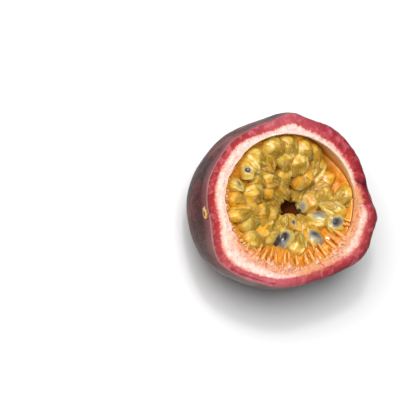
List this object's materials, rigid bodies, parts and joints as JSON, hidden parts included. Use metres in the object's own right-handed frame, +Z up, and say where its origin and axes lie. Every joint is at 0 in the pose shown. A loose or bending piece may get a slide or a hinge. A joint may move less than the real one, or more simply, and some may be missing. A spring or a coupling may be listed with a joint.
{
  "type": "passion fruit half",
  "caption": "Open half of a passion fruit lying cut face up: thick leathery rind round a bowl of translucent juice sacs that lean down to an off-centre hollow",
  "frame": {"origin": "under the middle of the fruit's box, on the surface it lies on", "axes": "+Z up, out of the cut face; +X along the fruit's long axis, away from the stem scar; +Y across it"},
  "size_m": [0.0632, 0.0574, 0.0353],
  "materials": {
    "rind": "satin, leathery; a crimson and white fibrous cut",
    "pulp": "wet, glossy, partly translucent"
  },
  "bodies": {
    "root": {"shell": "rind", "pulp": "pulp"}
  },
  "joints": []
}
